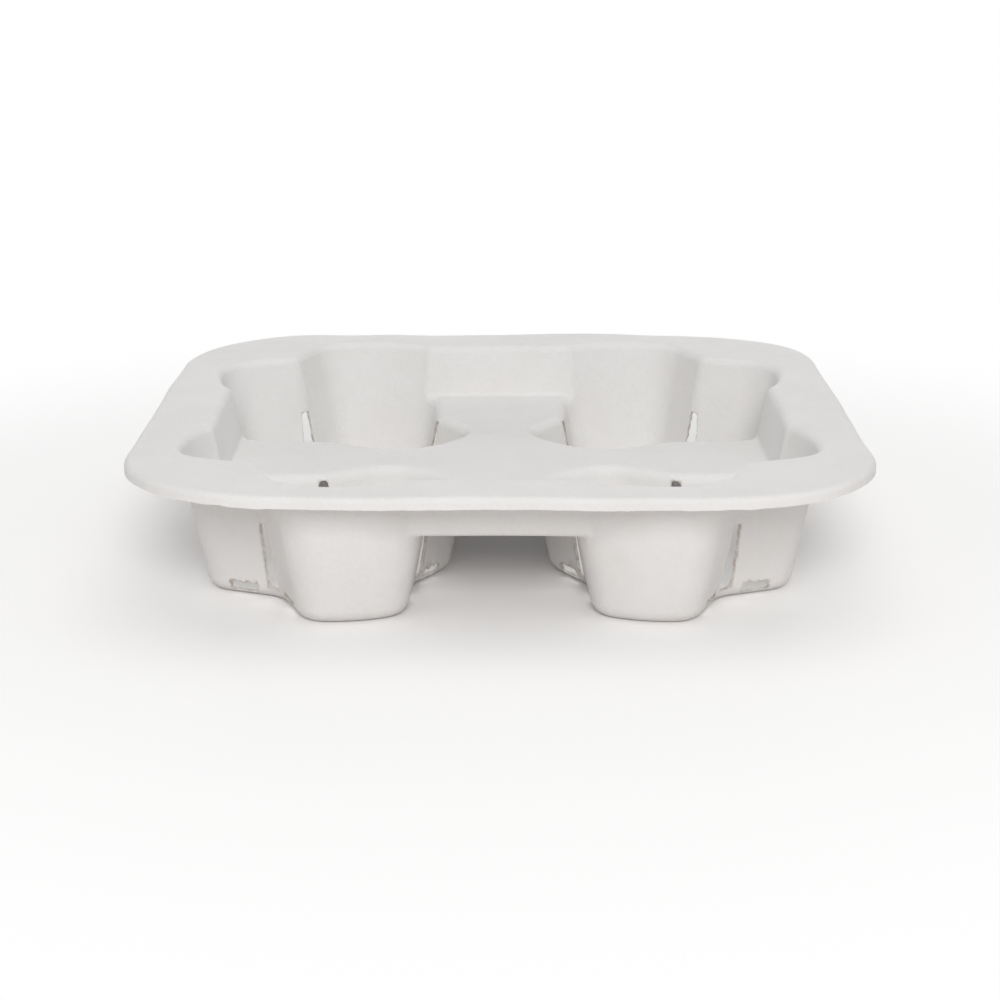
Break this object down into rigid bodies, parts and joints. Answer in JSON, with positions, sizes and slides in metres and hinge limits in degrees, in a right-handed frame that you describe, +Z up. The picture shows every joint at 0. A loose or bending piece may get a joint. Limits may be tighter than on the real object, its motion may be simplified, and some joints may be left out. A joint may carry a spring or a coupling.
{
  "type": "cup carrier",
  "caption": "Square tray of pressed white plant-fibre pulp with rounded corners, a turned-down rim and lobed, slit-walled pockets that hold cups and stand as its feet.",
  "frame": {"origin": "centre of the carrier, on the level that the pockets' undersides stand on", "axes": "+Z up through the middle of the tray; X and Y along the straight sides of the rim, -Y towards the front"},
  "size_m": [0.215, 0.215, 0.0435],
  "materials": {
    "pulp": "matte"
  },
  "bodies": {
    "root": {"cup_carrier": "pulp"}
  },
  "joints": []
}
